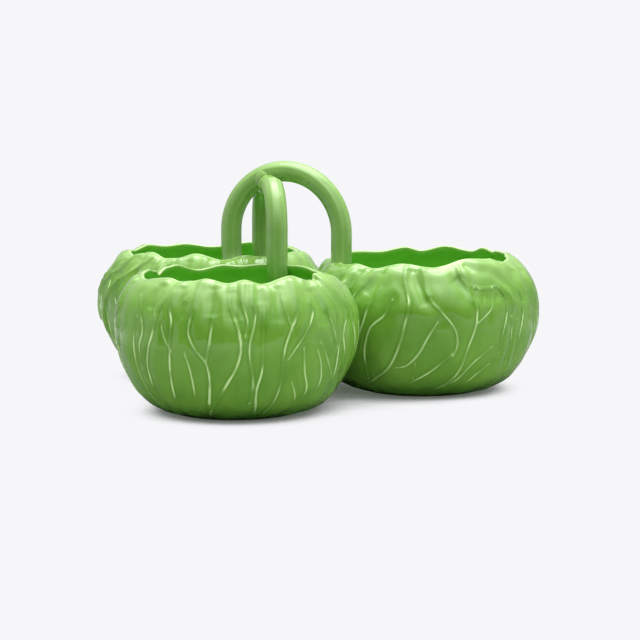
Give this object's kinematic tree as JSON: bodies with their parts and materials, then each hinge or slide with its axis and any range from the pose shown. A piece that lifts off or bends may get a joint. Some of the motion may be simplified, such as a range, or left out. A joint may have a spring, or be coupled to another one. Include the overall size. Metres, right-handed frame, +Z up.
{
  "type": "three-bowl leaf-moulded serving dish",
  "caption": "Cabbage-shaped glazed ceramic bowls joined in a triangle, with a carrying handle of crossing stems.",
  "frame": {"origin": "on the table under the middle of the footprint", "axes": "+Z up; +Y from the pair of side bowls towards the rear bowl; +X from the front bowl towards the right bowl; YZ is the layout's mirror plane"},
  "size_m": [0.2976, 0.2778, 0.147],
  "materials": {
    "leaf_glaze": "glossy translucent green glaze, paler over raised veins and edges",
    "stem_glaze": "glossy green glaze, paler along the flutes"
  },
  "bodies": {
    "root": {"front_bowl": "leaf_glaze", "right_bowl": "leaf_glaze", "rear_bowl": "leaf_glaze", "upper_stem": "stem_glaze", "lower_stem": "stem_glaze", "front_root": "stem_glaze", "right_root": "stem_glaze", "rear_left_root": "stem_glaze", "rear_right_root": "stem_glaze", "crossing_bead": "stem_glaze", "front_seam": "leaf_glaze", "right_seam": "leaf_glaze", "left_seam": "leaf_glaze"}
  },
  "joints": []
}
